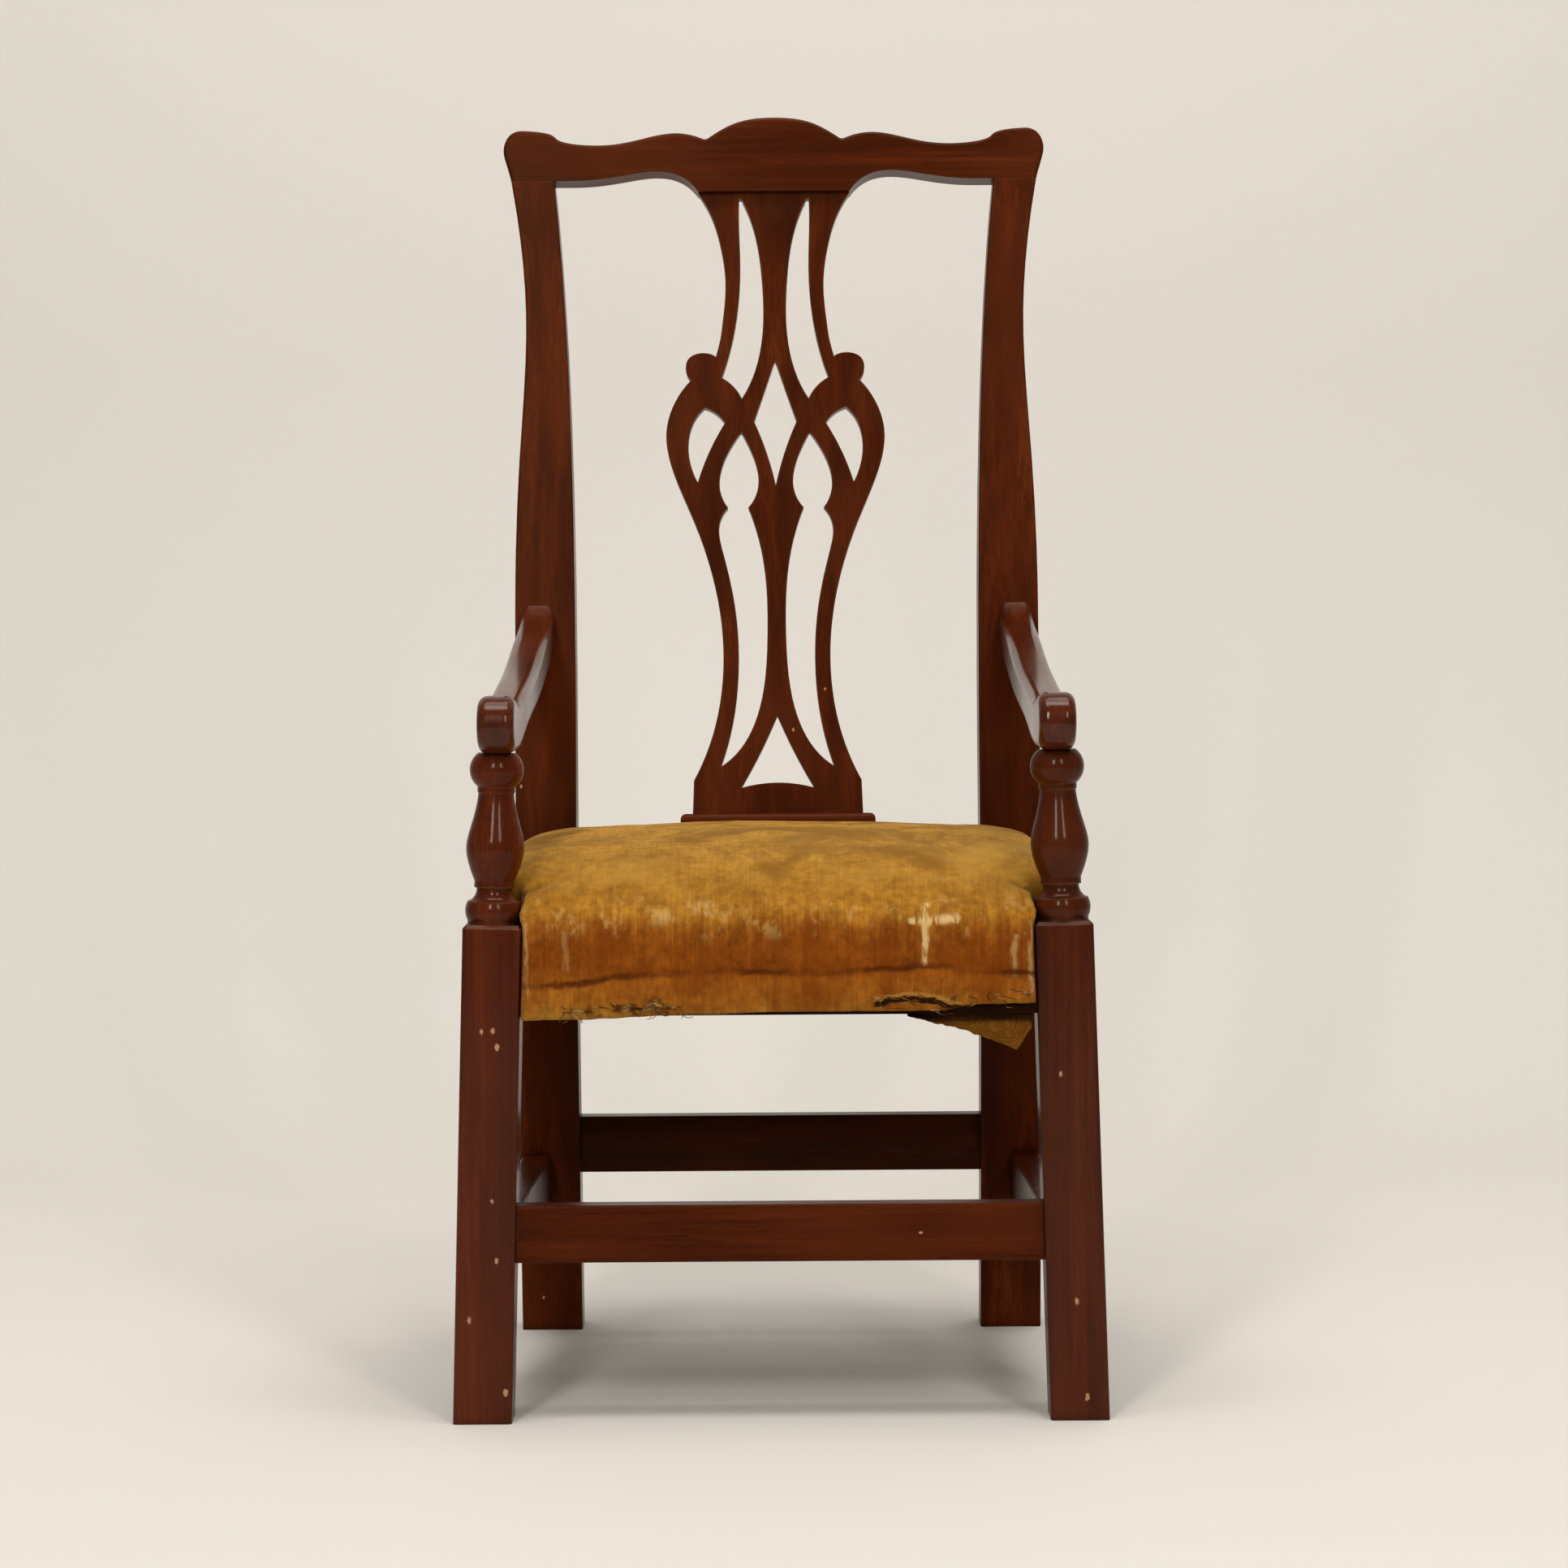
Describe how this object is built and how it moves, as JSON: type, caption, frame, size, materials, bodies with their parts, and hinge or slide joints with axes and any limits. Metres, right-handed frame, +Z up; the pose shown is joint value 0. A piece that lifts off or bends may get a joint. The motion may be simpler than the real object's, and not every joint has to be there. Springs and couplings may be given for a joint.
{
  "type": "child armchair",
  "caption": "Child's open armchair in dark turned and sawn wood, with a serpentine crest, pierced splat, swept arms, box stretchers and a worn velvet stuffed seat.",
  "frame": {"origin": "on the floor under the middle of the chair's box", "axes": "+Z up, the front of the chair faces -Y, +X to the right of someone facing the front"},
  "size_m": [0.389, 0.3948, 0.805],
  "materials": {
    "mahogany": "dark polished mahogany, worn at the edges",
    "beech": "plain unpolished frame wood",
    "webbing": "woven jute strap",
    "hessian": "coarse plain weave",
    "lining": "thin worn cloth",
    "horsehair": "loose curled hair pad",
    "velvet": "worn ribbed velvet, faded olive gold to rust"
  },
  "bodies": {
    "root": {"front_leg_left": "mahogany", "front_leg_right": "mahogany", "back_post_left": "mahogany", "back_post_right": "mahogany", "crest_rail": "mahogany", "splat": "mahogany", "splat_shoe": "mahogany", "arm_left": "mahogany", "arm_right": "mahogany", "stretcher_front": "mahogany", "stretcher_rear": "mahogany", "stretcher_left": "mahogany", "stretcher_right": "mahogany", "seat_rail_front": "beech", "seat_rail_rear": "beech", "seat_rail_left": "beech", "seat_rail_right": "beech", "corner_block_front_left": "beech", "corner_block_front_right": "beech", "corner_block_rear_left": "beech", "corner_block_rear_right": "beech", "webbing_lengthwise": "webbing", "webbing_crosswise": "webbing", "base_cloth": "hessian", "torn_lining": "lining", "seat_stuffing": "horsehair", "seat_cover": "velvet"}
  },
  "joints": []
}
